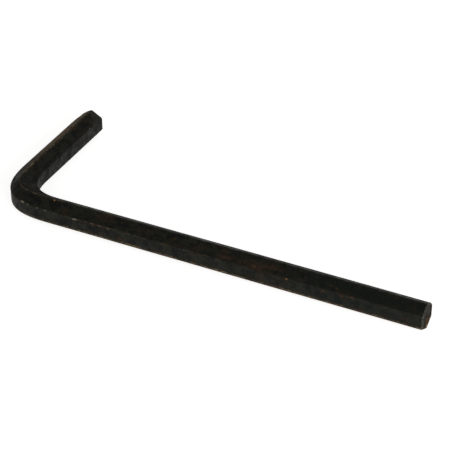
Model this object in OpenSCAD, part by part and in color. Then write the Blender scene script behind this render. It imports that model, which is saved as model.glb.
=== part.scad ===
// Hex key: one length of hexagonal steel bar, bent once to a right angle.
// Two opposite flats of the bar face the inside and the outside of the bend, so the key
// lies on the ridge between the two flats below, with its bend level.
// Origin: under the middle of the key, on the surface that it lies on.
// +X along the long arm to its tip, +Y along the short arm to its tip, +Z up.

/* [Bar] */
// Width across the flats, which is the size of the socket that the key turns
across_flats = 4; // [3:0.5:8]
// Height that drawing has rounded off each corner of the hexagon
corner_loss = 0.05; // [0.02:0.01:0.12]

/* [Arms] */
// Length of the long arm, from the outside of the bend to the tip
long_arm = 74; // [50:1:120]
// Length of the short arm, from the outside of the bend to the tip
short_arm = 29; // [24:1:45]

/* [Bend] */
// Radius of the flat on the inside of the bend
inside_radius = 4.2; // [2:0.1:8]

/* [Tips] */
// Bevel on the six sides of the end of the long arm
long_bevel = 0.2; // [0.1:0.05:0.5]
// Length over which use has worn down the corners of the long arm
long_worn_length = 1; // [0.7:0.1:3]
// Depth that those corners have lost at the end of the long arm
long_worn_depth = 0.04; // [0.02:0.01:0.2]
// Bevel on the six sides of the end of the short arm
short_bevel = 0.15; // [0.1:0.05:0.5]
// Length over which use has worn down the corners of the short arm
short_worn_length = 2; // [0.7:0.1:3]
// Depth that those corners have lost at the end of the short arm
short_worn_depth = 0.1; // [0.02:0.01:0.2]

/* [Hidden] */
$fn = 96;

SIDES = 6;
SIDE_ANGLE = 360 / SIDES;
BEND_ANGLE = 90;
steel_colour = [0.17, 0.17, 0.16];

// Reach of a sharp hexagon's corners from the axis of the bar, and of its rounded ones
sharp_reach = across_flats / 2 / cos(SIDE_ANGLE / 2);
corner_reach = sharp_reach - corner_loss;

// Radius of the bar's axis in the bend, and the arms measured from where their axes cross
axis_radius = inside_radius + across_flats / 2;
long_reach = long_arm - across_flats / 2;
short_reach = short_arm - across_flats / 2;

// Sharp hexagon that the bar is drawn to: flats towards +X and -X, corners at the top and bottom
module sharp_hexagon() {
    polygon([
        for (i = [0:SIDES - 1])
            sharp_reach * [cos(SIDE_ANGLE * (i + 0.5)), sin(SIDE_ANGLE * (i + 0.5))]
    ]);
}

// Quarter turn from the short arm's side at -X to the long arm's side at -Y, of the section given
module bend() {
    translate([axis_radius, axis_radius, 0])
        rotate([0, 0, 180])
            rotate_extrude(angle = BEND_ANGLE)
                translate([axis_radius, 0])
                    children();
}

// Puts what stands along +Z along the long arm
module on_long_arm() {
    rotate([90, 0, 90])
        children();
}

// Puts what stands along +Z along the short arm
module on_short_arm() {
    rotate([-90, 0, 0])
        children();
}

// Wedge that bevels the end of an arm along +Z, on its side towards +X
module bevel_wedge(reach, bevel) {
    side = across_flats / 2;
    rotate([90, 0, 0])
        linear_extrude(height = 2 * across_flats, center = true)
            polygon([
                [side - 2 * bevel, reach + bevel],
                [side + bevel, reach - 2 * bevel],
                [side + 2 * bevel, reach + bevel]
            ]);
}

// Sharp straight bar along +Z, from the end of the bend to the tip, with a bevel on each side of its end
module sharp_arm(reach, bevel) {
    difference() {
        translate([0, 0, axis_radius])
            linear_extrude(height = reach - axis_radius)
                sharp_hexagon();
        for (i = [0:SIDES - 1])
            rotate([0, 0, SIDE_ANGLE * i])
                bevel_wedge(reach, bevel);
    }
}

// Round outline that an arm along +Z is cut to: it takes the sharp corners off
// and draws in over the worn length
module arm_outline(reach, worn_length, worn_depth) {
    rotate_extrude()
        polygon([
            [0, axis_radius],
            [corner_reach, axis_radius],
            [corner_reach, reach - worn_length],
            [corner_reach - worn_depth, reach],
            [0, reach]
        ]);
}

// Both arms and the bend, with sharp corners and bevelled ends
module sharp_bar() {
    bend()
        sharp_hexagon();
    on_long_arm()
        sharp_arm(long_reach, long_bevel);
    on_short_arm()
        sharp_arm(short_reach, short_bevel);
}

// Round outline of the whole bar, which the sharp one is cut to
module bar_outline() {
    bend()
        circle(r = corner_reach);
    on_long_arm()
        arm_outline(long_reach, long_worn_length, long_worn_depth);
    on_short_arm()
        arm_outline(short_reach, short_worn_length, short_worn_depth);
}

module hex_key() {
    color(steel_colour)
        translate([
            across_flats / 2 - long_arm / 2,
            across_flats / 2 - short_arm / 2,
            corner_reach
        ])
            intersection() {
                sharp_bar();
                bar_outline();
            }
}

hex_key();
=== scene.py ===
import math

import bmesh
import bpy
from mathutils import Matrix, Vector, noise


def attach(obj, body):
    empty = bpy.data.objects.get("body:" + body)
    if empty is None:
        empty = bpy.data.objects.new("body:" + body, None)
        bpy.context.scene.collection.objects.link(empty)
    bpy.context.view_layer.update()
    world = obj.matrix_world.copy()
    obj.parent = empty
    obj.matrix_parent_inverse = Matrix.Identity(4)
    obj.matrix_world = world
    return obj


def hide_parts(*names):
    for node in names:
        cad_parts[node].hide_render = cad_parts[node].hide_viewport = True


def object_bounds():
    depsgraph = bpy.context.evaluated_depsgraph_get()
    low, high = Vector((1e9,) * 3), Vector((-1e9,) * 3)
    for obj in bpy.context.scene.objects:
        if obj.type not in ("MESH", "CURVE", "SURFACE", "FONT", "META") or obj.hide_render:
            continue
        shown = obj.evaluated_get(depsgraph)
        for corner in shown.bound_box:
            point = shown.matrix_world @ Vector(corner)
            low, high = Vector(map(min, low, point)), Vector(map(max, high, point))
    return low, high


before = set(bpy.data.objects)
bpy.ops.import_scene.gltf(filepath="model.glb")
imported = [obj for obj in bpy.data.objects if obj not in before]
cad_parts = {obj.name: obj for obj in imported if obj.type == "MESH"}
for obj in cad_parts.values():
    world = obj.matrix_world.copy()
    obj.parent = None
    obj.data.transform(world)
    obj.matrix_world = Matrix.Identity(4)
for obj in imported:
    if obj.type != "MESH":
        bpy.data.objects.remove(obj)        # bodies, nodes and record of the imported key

cad_low, cad_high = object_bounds()

# The bar is shaped in millimetres, from where the axes of its two arms cross.
MM = 0.001
ACROSS_FLATS = 4.0
SIDES = 6
SIDE_ANGLE = 360 / SIDES
FLAT_REACH = ACROSS_FLATS / 2
CORNER_REACH = (cad_high.z - cad_low.z) / MM / 2
SHARP_REACH = FLAT_REACH / math.cos(math.pi / SIDES)
LONG_REACH = (cad_high.x - cad_low.x) / MM - FLAT_REACH
SHORT_REACH = (cad_high.y - cad_low.y) / MM - FLAT_REACH

# That crossing in the frame, in metres
CROSSING = cad_low + Vector((FLAT_REACH, FLAT_REACH, CORNER_REACH)) * MM

# Rounding of the hexagon's corners, and how finely the bar is divided
CORNER_RUN = 0.17
CORNER_STEPS = 4
FLAT_CUTS = 9
RING_STEP = 0.17
TIP_STEP = 0.06
TIP_LENGTH = 1.5

# The stretch that is bent: its turn, its reach from the crossing, and its length along the bar for each
# mm of that reach, which lies between a quarter circle's 1.571 and a square corner's 2
BEND_TURN = math.pi / 2
BEND_REACH = 8.6
BEND_STRETCH = 1.717
BEND_RUN = BEND_STRETCH * BEND_REACH

# The bar was pressed round a former, so each pair of its edges turns on its own curve: how far from
# the crossing the curve starts, and how sharply it turns at its middle
OUTER_EDGES = (8.0, 1.14)
TOP_AND_BOTTOM_EDGES = (7.3, 1.37)
INNER_EDGES = (8.4, 1.08)

# Tips: bevel on the six sides of the end, and the length and depth to which the corners have worn
LONG_TIP = {"bevel": 0.2, "worn_length": 1.0, "worn_depth": 0.03}
SHORT_TIP = {"bevel": 0.07, "worn_length": 2.0, "worn_depth": 0.03}

# Rings of points on an end face, and the share of the section at which the first one lies
END_RINGS = 8
END_MARGIN = 0.97

# Depth to which drawing and handling have left the surface uneven, and the long soft waves and the
# shorter ones in which it varies: their share, and how many there are for each mm along the bar and for
# each half of its width
UNEVEN_DEPTH = 0.009
LONG_WAVES = (0.65, 0.16, 1.1)
SHORT_WAVES = (0.35, 0.9, 2.6)

# Dents and unevenness move the points that lie beyond this share of the flats' reach
DENTED_SHARE = 0.98

# Places on the bar are told by the distance along it from the long tip, in mm, and the distance round it
# from the top edge, positive towards the outside of the bend. Each face is FACE_RUN wide.
FACE_RUN = 2.275
BEND_START = LONG_REACH - BEND_REACH
BAR_LENGTH = BEND_START + BEND_RUN + SHORT_REACH - BEND_REACH

# A point within this distance of an end is on its face
AT_END = 0.001

# A spot ends where it has faded to exp(-SPOT_END)
SPOT_END = 6

# Rust: place along and round, half length, half width, strength
RUST = [
    (24.6, 1.2, 3.6, 0.9, 0.42), (26.9, 1.85, 0.9, 0.4, 0.40), (29.5, 1.5, 2.6, 0.7, 0.36),
    (19.0, 1.25, 0.3, 0.25, 0.55), (19.5, 1.8, 0.6, 0.25, 0.40), (13.8, 1.6, 0.35, 0.25, 0.50),
    (14.8, 1.4, 0.9, 0.35, 0.40), (32.8, 0.75, 1.2, 0.5, 0.45), (32.5, 1.65, 1.4, 0.45, 0.40),
    (41.2, 0.95, 0.5, 0.35, 0.50), (40.5, 1.8, 0.9, 0.3, 0.45), (52.9, 0.95, 1.2, 0.8, 0.38),
    (54.8, 0.95, 1.4, 0.85, 0.36), (46.0, 1.1, 3.0, 0.7, 0.30), (36.8, 1.2, 2.2, 0.7, 0.30),
    (60.5, 1.3, 2.0, 0.6, 0.28), (65.2, 0.6, 0.7, 0.3, 0.40), (53.0, 0.0, 0.8, 0.3, 0.40),
    (57.5, 0.0, 0.9, 0.3, 0.35), (63.1, 0.2, 0.28, 0.24, 1.00), (72.0, 0.05, 2.6, 0.2, 0.34),
    (76.8, 2.2, 7.5, 0.24, 0.68), (79.6, -0.5, 1.2, 0.5, 0.40), (85.0, -0.1, 0.8, 0.3, 0.40),
    (90.0, -0.35, 1.0, 0.3, 0.45), (11.2, 2.3, 0.5, 0.2, 0.50), (21.7, 2.3, 0.35, 0.2, 0.70),
    (53.8, 2.3, 0.9, 0.18, 0.45), (55.3, 2.3, 0.6, 0.18, 0.45), (12.8, 2.6, 0.4, 0.25, 0.55),
    (15.8, 2.6, 0.5, 0.25, 0.60), (12.0, 3.2, 0.6, 0.4, 0.40), (17.2, 3.3, 0.8, 0.4, 0.40),
    (2.9, 3.5, 0.7, 0.4, 0.45), (10.0, 4.0, 0.9, 0.3, 0.45), (28.1, 3.6, 0.7, 0.4, 0.40),
    (43.9, 3.3, 0.7, 0.4, 0.40), (50.3, 3.65, 0.5, 0.3, 0.60), (72.0, 3.4, 1.8, 0.9, 0.30),
    (81.0, -3.0, 0.6, 0.4, 0.35), (79.5, 1.5, 1.0, 0.6, 0.40), (1.5, 3.4, 0.2, 0.9, 0.40),
    (2.4, 3.2, 0.2, 0.8, 0.36), (87.2, -1.3, 1.4, 0.5, 0.35), (75.5, -1.2, 1.6, 0.5, 0.38),
    (92.6, -0.5, 1.0, 0.4, 0.42), (95.3, -0.5, 0.3, 0.45, 0.40), (94.6, -1.3, 0.35, 0.45, 0.40),
    (93.4, -1.9, 0.45, 0.35, 0.36), (18.0, -1.2, 2.0, 0.7, 0.36), (44.0, -1.0, 3.0, 0.6, 0.34),
    (30.0, -3.3, 2.5, 0.8, 0.40), (26.5, -1.2, 5.5, 0.7, 0.44), (52.5, -1.4, 2.5, 0.5, 0.34),
    (65.0, -0.9, 4.0, 0.7, 0.44), (58.0, -3.6, 1.6, 0.6, 0.42), (9.0, -3.0, 1.2, 0.6, 0.44),
    (21.0, -5.6, 3.0, 0.8, 0.40), (50.0, -5.4, 2.2, 0.7, 0.38), (36.0, 5.6, 2.8, 0.8, 0.40),
    (64.0, 5.9, 1.8, 0.7, 0.42), (12.0, 5.4, 1.4, 0.6, 0.46), (86.0, 3.4, 2.6, 0.8, 0.40),
    (91.5, 5.6, 1.6, 0.7, 0.42),
]

# Rust along the edges, counted from the top one towards the outside of the bend, and its width
EDGE_RUST = [0.20, 0.24, 0.74, 0.70, 0.60, 0.20]
EDGE_RUST_WIDTH = 0.34

# Tan film where handling has thinned the oxide, in streaks along the bar, and a tan line along the whole
# outer lower edge that is a painted reflection: the same values
THINNED_AND_REFLECTION = [
    (87.5, 1.15, 10.0, 0.90, 0.90), (95.4, 0.9, 1.6, 0.7, 0.70), (75.6, 0.12, 2.2, 0.26, 0.70),
    (70.4, 0.05, 1.9, 0.15, 0.46), (67.3, 0.0, 0.8, 0.14, 0.40), (63.6, 0.0, 3.0, 0.15, 0.44),
    (83.5, 0.0, 8.0, 0.20, 0.35), (58.0, 2.3, 8.0, 0.13, 0.24), (40.0, 2.3, 14.0, 0.12, 0.22),
    (30.0, -2.1, 30.0, 0.30, 0.42), (35.0, 4.45, 60.0, 0.26, 0.80),
]

# Deeper, greener oxide, mostly beside the long tip: the same values
DEEP = [(8.5, 1.2, 11.0, 1.3, 0.80), (8.0, 3.4, 11.0, 1.1, 0.66), (44.0, 3.4, 20.0, 0.9, 0.25)]

# Bright metal, where a knock has broken through the oxide: the same values, and the dent's depth.
# With a strength of 0 it is a dent alone. The row of them along the outer upper edge near the bend is a
# painted highlight.
KNOCKS_AND_HIGHLIGHTS = [
    (67.75, 2.25, 0.34, 0.16, 1.00, 0.06), (66.8, 2.3, 0.32, 0.17, 0.54, 0.03),
    (65.2, 2.3, 0.40, 0.18, 0.48, 0.02), (63.9, 2.32, 0.36, 0.18, 0.50, 0.02),
    (62.2, 2.35, 0.3, 0.14, 0.44, 0.01), (60.9, 2.35, 0.3, 0.12, 0.34, 0.01),
    (58.5, 2.4, 0.55, 0.15, 0.72, 0.04), (52.4, 2.5, 0.16, 0.22, 0.66, 0.04),
    (54.0, 2.35, 0.5, 0.12, 0.46, 0.02), (55.4, 2.35, 0.35, 0.12, 0.48, 0.02),
    (39.0, 2.3, 0.6, 0.12, 0.40, 0.03), (55.3, 0.7, 0.15, 0.15, 0.40, 0.01),
    (23.4, 0.0, 0.35, 0.14, 0.38, 0.03), (31.0, 0.0, 0.35, 0.14, 0.38, 0.03),
    (48.8, 0.05, 0.3, 0.14, 0.38, 0.02), (92.5, -2.2, 0.3, 0.18, 0.55, 0.03),
    (8.0, 0.3, 0.2, 0.15, 0.30, 0.01), (10.6, 0.5, 0.15, 0.15, 0.25, 0.01),
    (96.4, 2.25, 1.7, 0.7, 0.0, 0.14), (0.3, 2.1, 0.35, 0.3, 0.0, 0.07),
]
BRIGHT_SPOTS_AND_HIGHLIGHTS = [knock_and_highlight[:-1] for knock_and_highlight in KNOCKS_AND_HIGHLIGHTS]

# Worn oxide on the bar's edges and round its ends: how far it reaches to each side
RIDGE_WIDTH = 0.32
RIDGE_AT_TIP = 0.3

# Oxide rubbed off the short tip's inner upper face: how far from the tip at the top edge, how much
# further towards the inner edge, and further still near it, and how softly it ends along and round
TIP_RUBBED = {
    "reach": 1.2, "further": 0.5, "near_edge": 1.7, "strength": 0.45, "soft": 0.5, "soft_round": 0.3,
}

# Oxide rubbed off the long tip's bevel, painted lighter there as a highlight too: how far, in bevels, and
# how quickly it ends
BEVEL_RUB_AND_HIGHLIGHT_REACH = 1.25
BEVEL_RUB_AND_HIGHLIGHT_RATE = 2.4

# Long arm's end face, outward and upward from its middle: rust, and what is left of the dark oxide.
# From its two outer sides inward it is rubbed as its bevel is, and painted lighter there as a highlight
# beside the bevel.
END_RUST = [
    (-1.0, -1.2, 0.6, 0.6, 0.80), (0.1, -1.55, 0.8, 0.5, 0.84), (0.2, -0.5, 0.6, 0.5, 0.68),
    (-1.75, -0.3, 0.3, 0.9, 0.52), (-1.2, 0.2, 0.4, 0.5, 0.50),
]
END_DARK = [(-0.4, 0.85, 0.5, 0.5, 0.95), (-1.9, 0.4, 0.3, 1.2, 0.70)]
END_RUB_AND_HIGHLIGHT = {"width": 0.7, "soft": 0.5, "strength": 0.7}


# Shape of the bar

def smooth(value):
    """0 below 0, 1 above 1, with a soft start and end between."""
    held = min(max(value, 0.0), 1.0)
    return held * held * (3 - 2 * held)


def draw_section(bm):
    """The bar's section at the long tip, as a ring of edges: flats in and out, corners up and down."""
    stand = Matrix(((0, 0, -1), (-1, 0, 0), (0, 1, 0))).to_4x4()
    place = Matrix.Translation((LONG_REACH, 0, 0)) @ stand
    bmesh.ops.create_circle(bm, cap_ends=False, radius=SHARP_REACH, segments=SIDES, matrix=place)
    bmesh.ops.bevel(bm, geom=bm.verts[:], affect="VERTICES", offset=CORNER_RUN, segments=CORNER_STEPS,
                    profile=0.5, material=-1)
    flats = [edge for edge in bm.edges if edge.calc_length() > FLAT_REACH / 2]
    bmesh.ops.subdivide_edges(bm, edges=flats, cuts=FLAT_CUTS)
    return bm.edges[:]


def next_ring(bm, ring):
    """Draws a ring of edges out on the spot: the new ring's edges and its points."""
    made = bmesh.ops.extrude_edge_only(bm, edges=ring)["geom"]
    corners = [item for item in made if isinstance(item, bmesh.types.BMVert)]
    edges = [edge for edge in made if isinstance(edge, bmesh.types.BMEdge)]
    ends = set(corners)
    return [edge for edge in edges if ends.issuperset(edge.verts)], corners


def extend(bm, ring, way, length, steps):
    """Draws a ring of edges out along way, divides the new sides into steps, and returns the far ring."""
    near = {vert for edge in ring for vert in edge.verts}
    ring, corners = next_ring(bm, ring)
    bmesh.ops.translate(bm, verts=corners, vec=way * length)
    sides = [edge for vert in corners for edge in vert.link_edges if edge.other_vert(vert) in near]
    bmesh.ops.subdivide_edges(bm, edges=sides, cuts=steps - 1)
    return ring


def close_end(bm, ring, centre):
    """Closes an end with rings that shrink to its centre."""
    shrinks = [END_MARGIN] + [(count - 1) / count for count in range(END_RINGS, 1, -1)]
    for shrink in shrinks:
        ring, corners = next_ring(bm, ring)
        bmesh.ops.scale(bm, verts=corners, vec=(shrink,) * 3, space=Matrix.Translation(-centre))
    cap = bmesh.ops.contextual_create(bm, geom=ring)["faces"]
    bmesh.ops.poke(bm, faces=cap)


def bar_place(point):
    """Distance along the bar, and the point's place in the section: outward from the bend, and up."""
    if point.x >= BEND_REACH:
        return LONG_REACH - point.x, -point.y, point.z
    if point.y >= BEND_REACH:
        return BAR_LENGTH - (SHORT_REACH - point.y), -point.x, point.z
    arm = Vector((BEND_REACH - point.x, BEND_REACH - point.y))
    turned = math.atan2(arm.x, arm.y) / BEND_TURN
    return BEND_START + turned * BEND_RUN, arm.length - BEND_REACH, point.z


def round_place(out, up):
    """Distance round the bar from the top edge of a point of the section."""
    turned = math.degrees(math.atan2(out, up))
    face = math.floor(turned / SIDE_ANGLE)
    from_middle = math.radians(turned - SIDE_ANGLE * face - SIDE_ANGLE / 2)
    return FACE_RUN * (face + 0.5 + math.tan(from_middle) * math.sqrt(3) / 2)


def edge_curve(out):
    """Start and sharpness of the bend's curve for a place in the section, through its pairs of edges."""
    side = out / FLAT_REACH
    found = []
    for outer, middle, inner in zip(OUTER_EDGES, TOP_AND_BOTTOM_EDGES, INNER_EDGES):
        found.append(middle + (outer - inner) / 2 * side + ((outer + inner) / 2 - middle) * side * side)
    return found


def bent(along, out):
    """Where the pressed bend carries a place in the section: a conic from one arm's line to the other's."""
    turned = (along - BEND_START) / BEND_RUN * BEND_TURN
    run, sharpness = edge_curve(out)
    run += out
    start = BEND_REACH + out
    sine, cosine = math.sin(turned), math.cos(turned)
    radius = start / max(sine, cosine)
    if start * (1 - min(sine, cosine) / max(sine, cosine)) < run:
        pull = 4 * sharpness * sharpness / (run * run)
        held = 1 - 2 * start / run
        rate = (sine + cosine) / run
        square = rate * rate - pull * sine * cosine
        linear = 2 * held * rate + pull * start * (sine + cosine)
        rest = held * held - pull * start * start
        root = math.sqrt(max(linear * linear - 4 * square * rest, 0.0))
        radius = 2 * rest / (-linear - root) if square else -rest / linear
    return BEND_REACH - radius * sine, BEND_REACH - radius * cosine


def carry(along, out, up):
    """Position of a place in the section at a distance along the bar."""
    if along <= BEND_START:
        return Vector((LONG_REACH - along, -out, up))
    if along >= BEND_START + BEND_RUN:
        return Vector((-out, SHORT_REACH - (BAR_LENGTH - along), up))
    x, y = bent(along, out)
    return Vector((x, y, up))


def worn_outline(from_tip, tip):
    """How far from the bar's axis the tip's worn corners leave metal."""
    return CORNER_REACH - tip["worn_depth"] * smooth(1 - from_tip / tip["worn_length"])


def bevelled(from_tip, tip):
    """Share of the section that the bevel leaves at a distance from the tip."""
    return 1 - max(tip["bevel"] - from_tip, 0.0) / FLAT_REACH


def unevenness(along, around):
    """How far the surface lies below its true place."""
    turned = around / FACE_RUN * 2 * math.pi / SIDES
    across, over = math.cos(turned), math.sin(turned)
    waves = 0.0
    for share, along_rate, across_rate in (LONG_WAVES, SHORT_WAVES):
        place = Vector((along * along_rate, across * across_rate, over * across_rate))
        waves += share * noise.noise(place)
    return UNEVEN_DEPTH * min(max(0.5 + waves, 0.0), 1.0)


def spot(along, around, at_along, at_around, half_length, half_width):
    """1 in the middle of a spot, falling to nothing round it."""
    reach = ((along - at_along) / half_length) ** 2 + ((around - at_around) / half_width) ** 2
    return math.exp(-reach) if reach < SPOT_END else 0.0


def knock_depth(along, around):
    """Depth of the dents at a place on the surface."""
    return sum(depth * spot(along, around, *place) for *place, _, depth in KNOCKS_AND_HIGHLIGHTS)


def wear_and_bend(bm):
    """Moves the straight-swept bar's points to the worn and pressed form, and returns their places on it."""
    places = {}
    for vert in bm.verts:
        along, out, up = bar_place(vert.co)
        around = round_place(out, up)
        places[vert.index] = (along, around)
        reach = math.hypot(out, up)
        from_end = BAR_LENGTH - along
        kept = min(reach, worn_outline(along, LONG_TIP), worn_outline(from_end, SHORT_TIP))
        if reach > FLAT_REACH * DENTED_SHARE:
            kept -= knock_depth(along, around) + unevenness(along, around)
        kept *= min(bevelled(along, LONG_TIP), bevelled(from_end, SHORT_TIP))
        if reach:
            out, up = out * kept / reach, up * kept / reach
        vert.co = carry(along, out, up)
    return places


# Wear

def covered(first, second, places):
    """Share that a list of spots covers, where each one covers its share of what the others leave."""
    bare = 1.0
    for *place, strength in places:
        bare *= 1 - strength * spot(first, second, *place)
    return 1 - bare


def beside_edge(around):
    """The nearest edge of the bar, counted from the top one, and the distance round the bar from it."""
    faces = around / FACE_RUN
    return round(faces) % SIDES, abs(faces - round(faces)) * FACE_RUN


def ridge_mask(along, around):
    """1 on the bar's edges and round its ends, 0 on its flats."""
    from_tip = min(along, BAR_LENGTH - along)
    return max(smooth(1 - beside_edge(around)[1] / RIDGE_WIDTH), smooth(1 - from_tip / RIDGE_AT_TIP))


def edge_rust(around):
    """Rust that follows the bar's edges."""
    edge, beside = beside_edge(around)
    return EDGE_RUST[edge] * smooth(1 - beside / EDGE_RUST_WIDTH)


def rubbed_tip(along, around):
    """Share to which use has rubbed the oxide off the short tip's inner upper face."""
    across = min(max(-around / FACE_RUN, 0.0), 1.0)
    reach = TIP_RUBBED["reach"] + TIP_RUBBED["further"] * across + TIP_RUBBED["near_edge"] * across ** 3
    inner_side = smooth(0.5 + (around + FACE_RUN) / TIP_RUBBED["soft_round"])
    upper_side = smooth(0.5 - around / TIP_RUBBED["soft_round"])
    from_tip = BAR_LENGTH - along
    end = smooth(0.5 + (reach - from_tip) / TIP_RUBBED["soft"])
    return TIP_RUBBED["strength"] * (inner_side * upper_side) * end


def bevel_rub_and_highlight(along):
    """Rubbed oxide and a painted highlight: 1 on the long tip's bevel, falling to nothing just past it."""
    return smooth((BEVEL_RUB_AND_HIGHLIGHT_REACH - along / LONG_TIP["bevel"]) * BEVEL_RUB_AND_HIGHLIGHT_RATE)


def end_rub_and_highlight(out, up):
    """Share to which the long arm's end face is rubbed and painted lighter as a highlight, from its two
    outer sides inward.
    """
    inward = min(FLAT_REACH - out, FLAT_REACH - (out + math.sqrt(3) * up) / 2)
    return END_RUB_AND_HIGHLIGHT["strength"] * smooth((END_RUB_AND_HIGHLIGHT["width"] - inward) / END_RUB_AND_HIGHLIGHT["soft"])


def side_wear(along, around):
    """Each kind of wear at a place on the bar's sides, with the painted highlights and the painted
    reflection that share its masks.
    """
    return {
        "rust": 1 - (1 - covered(along, around, RUST)) * (1 - edge_rust(around)),
        # Knocks, and the painted highlight dots along the outer upper edge near the bend
        "knock_and_highlight": covered(along, around, BRIGHT_SPOTS_AND_HIGHLIGHTS),
        "ridge": ridge_mask(along, around),
        # Rubbed short tip, and rubbed oxide with a painted highlight on the long tip's bevel
        "rubbed_and_highlight": max(rubbed_tip(along, around), bevel_rub_and_highlight(along)),
        # Tan film, and the painted reflection along the outer lower edge
        "thinned_and_reflection": covered(along, around, THINNED_AND_REFLECTION),
        "deep": covered(along, around, DEEP),
    }


def long_end_wear(out, up):
    """Each kind of wear at a place on the long arm's end face; its rubbed band beside the bevel is also a
    painted highlight.
    """
    bare = 1 - covered(out, up, END_DARK)
    rubbed_and_highlight = end_rub_and_highlight(out, up)
    # The rubbed band beside the bevel is also a painted highlight
    return {"cut": bare * (1 - rubbed_and_highlight), "rubbed_and_highlight": bare * rubbed_and_highlight, "rust": covered(out, up, END_RUST)}


def store_wear(bm, places):
    """Stores each kind of wear on the bar's points, with the painted highlights and the painted reflection
    among them, from 0 to 1.
    """
    names = ("rust", "knock_and_highlight", "ridge", "rubbed_and_highlight", "thinned_and_reflection", "deep", "cut")
    masks = {name: bm.verts.layers.float.new(name) for name in names}
    for vert in bm.verts:
        along, around = places[vert.index]
        if along < AT_END:
            wear = long_end_wear(-vert.co.y, vert.co.z)
        elif along > BAR_LENGTH - AT_END:
            wear = {"cut": 1.0}
        else:
            wear = side_wear(along, around)
        for name, value in wear.items():
            vert[masks[name]] = value


def store_places(bm, places):
    """Stores each point's place along and round the bar as a UV map, in mm, with one seam below."""
    sheet = bm.loops.layers.uv.new("bar")
    girth = SIDES * FACE_RUN
    for face in bm.faces:
        rounds = [places[loop.vert.index][1] for loop in face.loops]
        wrap = max(rounds) - min(rounds) > girth / 2
        for loop, around in zip(face.loops, rounds):
            lifted = around + girth if wrap and around < 0 else around
            loop[sheet].uv = (places[loop.vert.index][0], lifted)


def new_object(name, bm):
    """An object made of the bmesh, in the scene."""
    mesh = bpy.data.meshes.new(name)
    bm.to_mesh(mesh)
    bm.free()
    made = bpy.data.objects.new(name, mesh)
    bpy.context.scene.collection.objects.link(made)
    return made


def build_bar():
    """The whole key as one closed mesh in the frame's place and metres, with its wear and its painted
    highlights and reflection on its points.
    """
    bm = bmesh.new()
    first = draw_section(bm)
    back, forth = Vector((-1, 0, 0)), Vector((0, 1, 0))
    tip_steps = round(TIP_LENGTH / TIP_STEP)
    end = extend(bm, first, back, TIP_LENGTH, tip_steps)
    long_run = BEND_START - TIP_LENGTH
    end = extend(bm, end, back, long_run, round(long_run / RING_STEP))
    turned = bmesh.ops.spin(bm, geom=end, cent=(BEND_REACH, BEND_REACH, 0), axis=(0, 0, 1),
                            angle=-BEND_TURN, steps=round(BEND_RUN / RING_STEP),
                            space=Matrix.Identity(4))["geom_last"]
    end = [item for item in turned if isinstance(item, bmesh.types.BMEdge)]
    short_run = SHORT_REACH - BEND_REACH - TIP_LENGTH
    end = extend(bm, end, forth, short_run, round(short_run / RING_STEP))
    end = extend(bm, end, forth, TIP_LENGTH, tip_steps)
    close_end(bm, first, Vector((LONG_REACH, 0, 0)))
    close_end(bm, end, Vector((0, SHORT_REACH, 0)))
    bmesh.ops.recalc_face_normals(bm, faces=bm.faces[:])
    bm.verts.index_update()
    places = wear_and_bend(bm)
    store_wear(bm, places)
    store_places(bm, places)
    for face in bm.faces:
        face.smooth = True
    bmesh.ops.transform(bm, matrix=Matrix.Translation(CROSSING) @ Matrix.Scale(MM, 4), verts=bm.verts[:])
    return new_object("hex_key_bar", bm)


# Shader nodes

def add(tree, kind, **settings):
    """A new node with these settings."""
    made = tree.nodes.new(kind)
    for name, value in settings.items():
        setattr(made, name, value)
    return made


def feed(tree, socket, value):
    """Links a socket's value, or sets a plain one."""
    if isinstance(value, bpy.types.NodeSocket):
        tree.links.new(value, socket)
    else:
        socket.default_value = value


def maths(tree, operation, first, second=0.0, third=0.0):
    """Result of one operation on two or three values."""
    made = add(tree, "ShaderNodeMath", operation=operation)
    for socket, value in zip(made.inputs, (first, second, third)):
        feed(tree, socket, value)
    return made.outputs[0]


def weighed(tree, *parts):
    """Values added up, each times its weight."""
    total, *others = [maths(tree, "MULTIPLY", value, weight) for value, weight in parts]
    for other in others:
        total = maths(tree, "ADD", total, other)
    return total


def blend(tree, kind, amount, first, second):
    """From the first to the second, by amount: RGBA for colours, FLOAT for values."""
    made = add(tree, "ShaderNodeMix", data_type=kind)
    feed(tree, made.inputs["Factor"], amount)
    feed(tree, made.inputs["A"], first)
    feed(tree, made.inputs["B"], second)
    return made.outputs["Result"]


def grain(tree, where, scale, detail=3.0, roughness=0.5):
    """Noise on the coordinates given, scale in features for each millimetre."""
    made = add(tree, "ShaderNodeTexNoise")
    feed(tree, made.inputs["Vector"], where)
    made.inputs["Scale"].default_value = scale
    made.inputs["Detail"].default_value = detail
    made.inputs["Roughness"].default_value = roughness
    return made.outputs["Fac"]


def ramp(tree, value, low, high):
    """0 at low and 1 at high, smooth between."""
    made = add(tree, "ShaderNodeMapRange", interpolation_type="SMOOTHSTEP")
    feed(tree, made.inputs["Value"], value)
    feed(tree, made.inputs["From Min"], low)
    feed(tree, made.inputs["From Max"], high)
    return made.outputs["Result"]


def attribute(tree, name):
    """Wear, with painted highlights and a painted reflection, that is stored on the bar's points."""
    return add(tree, "ShaderNodeAttribute", attribute_name=name).outputs["Fac"]


def stretched(tree, where, scale):
    """Coordinates times a scale along each axis."""
    made = add(tree, "ShaderNodeMapping")
    tree.links.new(where, made.inputs["Vector"])
    made.inputs["Scale"].default_value = scale
    return made.outputs["Vector"]


def new_group(name, inputs, outputs):
    """A node group with these sockets, and its input and output nodes."""
    group = bpy.data.node_groups.new(name, "ShaderNodeTree")
    for label, kind, value in inputs:
        made = group.interface.new_socket(label, in_out="INPUT", socket_type=kind)
        made.default_value = value
    for label, kind in outputs:
        group.interface.new_socket(label, in_out="OUTPUT", socket_type=kind)
    return group, group.nodes.new("NodeGroupInput"), group.nodes.new("NodeGroupOutput")


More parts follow.
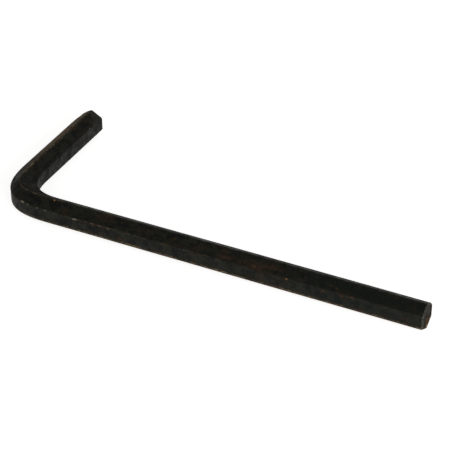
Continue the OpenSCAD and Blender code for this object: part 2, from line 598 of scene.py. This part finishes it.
def place_group(tree, group, **values):
    """The group in a material, with its own values."""
    made = add(tree, "ShaderNodeGroup", node_tree=group)
    for label, value in values.items():
        feed(tree, made.inputs[label], value)
    return made


# Finish of the steel

DARK_OXIDE = (0.0018, 0.0030, 0.0014, 1)
LIGHT_OXIDE = (0.0150, 0.0165, 0.0095, 1)
BROWN_OXIDE = (0.0250, 0.0150, 0.0070, 1)
DEEP_OXIDE = (0.0034, 0.0064, 0.0038, 1)
PALE_SPECKS = (0.042, 0.038, 0.028, 1)
WORN_RIDGE = (0.040, 0.033, 0.022, 1)
# Rubbed steel, also the painted highlight on the long tip's bevel and beside it on the end face
RUBBED_STEEL_AND_HIGHLIGHT = (0.080, 0.075, 0.060, 1)
SAWN_STEEL = (0.038, 0.029, 0.019, 1)
# Tan film, also the painted reflection along the outer lower edge
TAN_FILM_AND_REFLECTION = (0.270, 0.190, 0.112, 1)
# Bright metal of knocks, also the painted highlight dots along the outer upper edge near the bend
BRIGHT_STEEL_AND_HIGHLIGHT = (0.34, 0.30, 0.25, 1)

# Rust, from a thin stain to thick crumbs: place on the colour ramp, and colour
RUST_TONES = [
    (0.20, (0.013, 0.009, 0.005, 1)), (0.52, (0.034, 0.018, 0.009, 1)),
    (0.84, (0.120, 0.062, 0.028, 1)), (1.00, (0.45, 0.30, 0.12, 1)),
]

# Lines that drawing has left: features for each mm along the bar, and round it
DRAWN_LINES = (0.45, 4.0, 1.0)


def rust_group():
    """Rust: a mask broken up by its grain, and its colour from dark brown to orange as it gets stronger."""
    group, given, gives = new_group(
        "rust",
        [("Where", "NodeSocketVector", (0, 0, 0)), ("Strength", "NodeSocketFloat", 0.0)],
        [("Mask", "NodeSocketFloat"), ("Color", "NodeSocketColor")],
    )
    where, strength = given.outputs["Where"], given.outputs["Strength"]
    patches = grain(group, where, scale=1.6, detail=5.0, roughness=0.7)
    crumbs = grain(group, where, scale=7.0, detail=3.0, roughness=0.65)
    broken = weighed(group, (patches, 0.6), (crumbs, 0.4))
    spread = maths(group, "ADD", strength, maths(group, "MULTIPLY_ADD", broken, 2.2, -1.1))
    thickness = maths(group, "MULTIPLY", strength, maths(group, "MULTIPLY_ADD", broken, 2.0, 0.2))
    colours = add(group, "ShaderNodeValToRGB")
    feed(group, colours.inputs["Fac"], thickness)
    stops = colours.color_ramp.elements
    stops[0].position, stops[0].color = RUST_TONES[0]
    stops[1].position, stops[1].color = RUST_TONES[-1]
    for position, tone in RUST_TONES[1:-1]:
        stops.new(position).color = tone
    feed(group, gives.inputs["Mask"], ramp(group, spread, 0.10, 0.60))
    feed(group, gives.inputs["Color"], colours.outputs["Color"])
    return group


def mottle_group():
    """Uneven oxide: a colour between three tones, and a value that goes with it."""
    group, given, gives = new_group(
        "oxide_mottle",
        [("Where", "NodeSocketVector", (0, 0, 0)), ("Dark", "NodeSocketColor", DARK_OXIDE),
         ("Light", "NodeSocketColor", LIGHT_OXIDE), ("Brown", "NodeSocketColor", BROWN_OXIDE)],
        [("Color", "NodeSocketColor"), ("Cloud", "NodeSocketFloat")],
    )
    where = given.outputs["Where"]
    cloud = grain(group, where, scale=0.8, detail=4.0, roughness=0.6)
    fleck = grain(group, where, scale=4.0, detail=3.0, roughness=0.7)
    stain = grain(group, where, scale=0.45, detail=5.0, roughness=0.7)
    tone = ramp(group, weighed(group, (cloud, 0.6), (fleck, 0.4)), 0.41, 0.60)
    oxide = blend(group, "RGBA", tone, given.outputs["Dark"], given.outputs["Light"])
    stained = blend(group, "RGBA", ramp(group, stain, 0.53, 0.70), oxide, given.outputs["Brown"])
    feed(group, gives.inputs["Color"], stained)
    feed(group, gives.inputs["Cloud"], tone)
    return group


def tan_film_and_reflection_mask(tree, lines, scuffs):
    """Where the tan film and the painted reflection along the outer lower edge show: in streaks along the
    drawn lines, and patchy.
    """
    stored = attribute(tree, "thinned_and_reflection")
    worn = weighed(tree, (lines, 1.1), (scuffs, 1.5))
    streak = maths(tree, "ADD", stored, maths(tree, "ADD", worn, -1.4))
    film_and_reflection = maths(tree, "MULTIPLY", ramp(tree, streak, 0.0, 0.75), ramp(tree, stored, 0.02, 0.3))
    patchy = blend(tree, "FLOAT", ramp(tree, scuffs, 0.38, 0.58), 0.55, 1.0)
    return maths(tree, "MULTIPLY", film_and_reflection, patchy)


def broken_wear(tree, where, lines, scuffs, fine):
    """The other stored wear, with the painted highlights and the painted reflection among it, each kind
    broken up by a grain, and pale specks all over.
    """
    soft = grain(tree, where, scale=4.0)
    dots = grain(tree, where, scale=3.7, detail=2.0, roughness=0.6)
    chipped = maths(tree, "MULTIPLY_ADD", fine, 0.9, -0.45)
    ragged = blend(tree, "FLOAT", ramp(tree, scuffs, 0.42, 0.56), 0.2, 1.0)
    return {
        "ridge": maths(tree, "MULTIPLY", attribute(tree, "ridge"), ramp(tree, scuffs, 0.42, 0.66)),
        "rubbed_and_highlight": maths(tree, "MULTIPLY", attribute(tree, "rubbed_and_highlight"), ramp(tree, soft, 0.30, 0.60)),
        "sawn": maths(tree, "MULTIPLY", attribute(tree, "cut"), ragged),
        "thinned_and_reflection": tan_film_and_reflection_mask(tree, lines, scuffs),
        "knock_and_highlight": ramp(tree, maths(tree, "ADD", attribute(tree, "knock_and_highlight"), chipped), 0.22, 0.75),
        "specks": ramp(tree, dots, 0.62, 0.72),
    }


def black_oxide_steel(rust, mottle):
    """Drawn steel with a black oxide finish: dark satin, rubbed on its edges, knocked, lightly rusted, with
    painted highlights on the long tip's bevel and along the outer upper edge near the bend, and a painted
    reflection along the outer lower edge.
    """
    material = bpy.data.materials.new("black_oxide_steel")
    material.use_nodes = True
    tree = material.node_tree
    shader = tree.nodes["Principled BSDF"]
    where = stretched(tree, add(tree, "ShaderNodeTexCoord").outputs["Object"], (1 / MM,) * 3)
    sheet = add(tree, "ShaderNodeUVMap", uv_map="bar").outputs["UV"]
    lines = grain(tree, stretched(tree, sheet, DRAWN_LINES), scale=1.0, detail=4.0, roughness=0.6)
    scuffs = grain(tree, where, scale=1.7, detail=4.0, roughness=0.6)
    fine = grain(tree, where, scale=6.0, detail=3.0, roughness=0.6)
    oxide = place_group(tree, mottle, Where=where, Dark=DARK_OXIDE, Light=LIGHT_OXIDE, Brown=BROWN_OXIDE)
    rusted = place_group(tree, rust, Where=where, Strength=attribute(tree, "rust"))
    wear = broken_wear(tree, where, lines, scuffs, fine)

    # Colour: each layer covers those before it, by its mask and strength
    colour = oxide.outputs["Color"]
    for mask, strength, tone in [
        (attribute(tree, "deep"), 1.0, DEEP_OXIDE),
        (wear["specks"], 0.7, PALE_SPECKS),
        (wear["ridge"], 0.5, WORN_RIDGE),
        # Rubbed steel, with the painted highlight on the long tip's bevel
        (wear["rubbed_and_highlight"], 1.0, RUBBED_STEEL_AND_HIGHLIGHT),
        (wear["sawn"], 1.0, SAWN_STEEL),
        # Tan film, with the painted reflection along the outer lower edge
        (wear["thinned_and_reflection"], 0.92, TAN_FILM_AND_REFLECTION),
        (rusted.outputs["Mask"], 1.0, rusted.outputs["Color"]),
        # Bright knocks, with the painted highlight dots along the outer upper edge near the bend
        (wear["knock_and_highlight"], 1.0, BRIGHT_STEEL_AND_HIGHLIGHT),
    ]:
        colour = blend(tree, "RGBA", maths(tree, "MULTIPLY", mask, strength), colour, tone)
    feed(tree, shader.inputs["Base Color"], colour)
    feed(tree, shader.inputs["Metallic"], maths(tree, "MULTIPLY", wear["knock_and_highlight"], 0.5))
    shader.inputs["Specular IOR Level"].default_value = 0.22

    # Roughness: satin oxide, matt film and saw cut, rust, and smooth bright metal
    matt = maths(tree, "MAXIMUM", wear["thinned_and_reflection"], attribute(tree, "cut"))
    rough = blend(tree, "FLOAT", oxide.outputs["Cloud"], 0.70, 0.42)
    for mask, roughness in [(matt, 0.95), (rusted.outputs["Mask"], 0.85), (wear["knock_and_highlight"], 0.45)]:
        rough = blend(tree, "FLOAT", mask, rough, roughness)
    feed(tree, shader.inputs["Roughness"], rough)

    # Relief, with each part's height in mm
    bump = add(tree, "ShaderNodeBump")
    bump.inputs["Distance"].default_value = MM
    relief = weighed(tree, (lines, 0.010), (scuffs, 0.006), (fine, 0.007), (rusted.outputs["Mask"], 0.010))
    feed(tree, bump.inputs["Height"], relief)
    feed(tree, shader.inputs["Normal"], bump.outputs["Normal"])
    return material


# Studio

WHITE = (1.0, 1.0, 1.0, 1)

# Light from all round: at the horizon and overhead, and the height at which the second one is reached
HORIZON = (0.37, 0.365, 0.35, 1)
OVERHEAD = (0.19, 0.19, 0.19, 1)
OVERHEAD_FROM = 0.75

# Floor: its reach in metres, its paint, and how much it glows to the camera and in the key's sheen
FLOOR_REACH = 0.6
FLOOR_PAINT = (0.80, 0.79, 0.77, 1)
FLOOR_SEEN = 0.81
FLOOR_MIRRORED = 0.32

# The photograph's view: the camera's direction and roll; its distance, and how far aside and above the
# crossing it is aimed, in mm; its focal length and the photograph's width, in pixels
VIEW_AZIMUTH = math.radians(26.473)
VIEW_ELEVATION = math.radians(34.337)
VIEW_ROLL = math.radians(-0.292)
VIEW_DISTANCE = 66.598 * ACROSS_FLATS
VIEW_ASIDE = 8.7513 * ACROSS_FLATS
VIEW_ABOVE = -1.1013 * ACROSS_FLATS
FOCAL_PIXELS = 1645.12
PHOTO_PIXELS = 450


def light_world():
    """Soft light from all round, paler near the horizon than overhead; the camera sees white."""
    world = bpy.data.worlds.new("studio")
    bpy.context.scene.world = world
    world.use_nodes = True
    tree = world.node_tree
    around = tree.nodes["Background"]
    place = add(tree, "ShaderNodeTexCoord")
    split = add(tree, "ShaderNodeSeparateXYZ")
    tree.links.new(place.outputs["Generated"], split.inputs[0])
    high = ramp(tree, split.outputs["Z"], 0.0, OVERHEAD_FROM)
    feed(tree, around.inputs["Color"], blend(tree, "RGBA", high, HORIZON, OVERHEAD))
    path = add(tree, "ShaderNodeLightPath")
    seen = add(tree, "ShaderNodeBackground")
    seen.inputs["Color"].default_value = WHITE
    mixed = add(tree, "ShaderNodeMixShader")
    tree.links.new(path.outputs["Is Camera Ray"], mixed.inputs[0])
    tree.links.new(around.outputs[0], mixed.inputs[1])
    tree.links.new(seen.outputs[0], mixed.inputs[2])
    tree.links.new(mixed.outputs[0], tree.nodes["World Output"].inputs["Surface"])


def floor_white():
    """Pale matt paint that glows to the camera, which sees white where the key's shadow doesn't fall."""
    material = bpy.data.materials.new("floor_white")
    material.use_nodes = True
    tree = material.node_tree
    tree.nodes.remove(tree.nodes["Principled BSDF"])
    paint = add(tree, "ShaderNodeBsdfDiffuse")
    paint.inputs["Color"].default_value = FLOOR_PAINT
    glow = add(tree, "ShaderNodeEmission")
    glow.inputs["Color"].default_value = WHITE
    path = add(tree, "ShaderNodeLightPath")
    mirrored = maths(tree, "MULTIPLY", path.outputs["Is Glossy Ray"], FLOOR_MIRRORED)
    seen = maths(tree, "MULTIPLY_ADD", path.outputs["Is Camera Ray"], FLOOR_SEEN, mirrored)
    feed(tree, glow.inputs["Strength"], seen)
    both = add(tree, "ShaderNodeAddShader")
    tree.links.new(paint.outputs[0], both.inputs[0])
    tree.links.new(glow.outputs[0], both.inputs[1])
    tree.links.new(both.outputs[0], tree.nodes["Material Output"].inputs["Surface"])
    return material


def lay_floor():
    """Plain floor that the key lies on."""
    bm = bmesh.new()
    bmesh.ops.create_grid(bm, x_segments=1, y_segments=1, size=FLOOR_REACH)
    floor = new_object("floor", bm)
    floor.data.materials.append(floor_white())


def softbox(name, place, size, power):
    """A square area light that faces the key."""
    lamp = bpy.data.lights.new(name, "AREA")
    lamp.shape = "SQUARE"
    lamp.size = size
    lamp.energy = power
    made = bpy.data.objects.new(name, lamp)
    made.location = place
    made.rotation_mode = "QUATERNION"
    made.rotation_quaternion = Vector(place).to_track_quat("Z", "Y")
    bpy.context.scene.collection.objects.link(made)


def aim_camera():
    """The camera in the photograph's view."""
    back = Vector((
        math.sin(VIEW_AZIMUTH) * math.cos(VIEW_ELEVATION),
        -math.cos(VIEW_AZIMUTH) * math.cos(VIEW_ELEVATION),
        math.sin(VIEW_ELEVATION),
    ))
    level = Vector((math.cos(VIEW_AZIMUTH), math.sin(VIEW_AZIMUTH), 0))
    right = math.cos(VIEW_ROLL) * level + math.sin(VIEW_ROLL) * back.cross(level)
    upward = back.cross(right)
    lens = bpy.data.cameras.new("camera")
    lens.lens = FOCAL_PIXELS / PHOTO_PIXELS * lens.sensor_width
    lens.clip_start = 0.01
    camera = bpy.data.objects.new("camera", lens)
    camera.rotation_mode = "QUATERNION"
    camera.rotation_quaternion = Matrix((right, upward, back)).transposed().to_quaternion()
    camera.location = CROSSING + (back * VIEW_DISTANCE + right * VIEW_ASIDE + upward * VIEW_ABOVE) * MM
    bpy.context.scene.collection.objects.link(camera)
    bpy.context.scene.camera = camera


aim_camera()
light_world()
lay_floor()
softbox("right_softbox", place=(0.42, -0.30, 0.16), size=0.30, power=1.4)
softbox("front_softbox", place=(0.05, -0.50, 0.10), size=0.30, power=0.2)
bpy.context.scene.view_settings.view_transform = "Standard"

bar = build_bar()
bar.data.materials.append(black_oxide_steel(rust_group(), mottle_group()))
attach(bar, "root")
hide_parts("hex_key")
